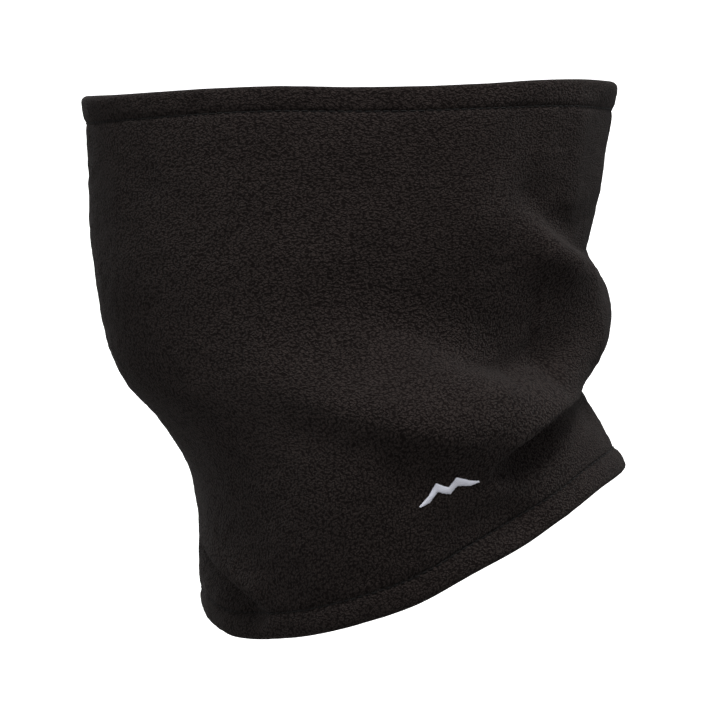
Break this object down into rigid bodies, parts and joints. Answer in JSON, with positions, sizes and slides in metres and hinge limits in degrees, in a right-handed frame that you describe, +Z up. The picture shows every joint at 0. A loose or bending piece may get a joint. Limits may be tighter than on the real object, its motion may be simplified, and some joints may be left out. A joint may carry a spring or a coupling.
{
  "type": "neck gaiter",
  "caption": "Fleece tube worn over the neck and lower face, with a turned hem at each rim, a centre back seam and a small embroidered ridge mark.",
  "frame": {"origin": "on the neck's axis, level with the lowest point of the bottom hem, at the mouth that the neck goes through", "axes": "+Z up along the neck, the wearer faces -Y, +X is the wearer's left"},
  "size_m": [0.1931, 0.2256, 0.2341],
  "materials": {
    "fleece": "matt brushed pile",
    "sewing_thread": "soft sheen",
    "embroidery_thread": "silky",
    "backing": "matt felted",
    "label_ribbon": "satin weave"
  },
  "bodies": {
    "neck_tube": {"fleece_lower": "fleece", "fleece_middle": "fleece", "bottom_hem": "fleece", "bottom_hem_needle_thread": "sewing_thread", "bottom_hem_bobbin_thread": "sewing_thread", "seam_thread_lower": "sewing_thread", "seam_thread_middle": "sewing_thread", "embroidery_satin_thread": "embroidery_thread", "embroidery_bobbin_thread": "embroidery_thread", "embroidery_backing": "backing"},
    "face_band": {"fleece_upper": "fleece", "top_hem": "fleece", "top_hem_needle_thread": "sewing_thread", "top_hem_bobbin_thread": "sewing_thread", "seam_thread_upper": "sewing_thread", "label_stitches": "sewing_thread"},
    "care_label": {"care_label": "label_ribbon"}
  },
  "joints": [
    {"name": "pull_down", "type": "slide", "parent": "neck_tube", "child": "face_band", "axis": [0, 0, -1], "range_m": [0, 0.07], "deforming": ["fleece_middle", "seam_thread_middle"]},
    {"name": "label_flap", "type": "hinge", "parent": "face_band", "child": "care_label", "pos_m": [0.02485, 0.07922, 0.21855], "axis": [-0.9187, 0.3901, -0.061], "range_deg": [0, 120]}
  ]
}
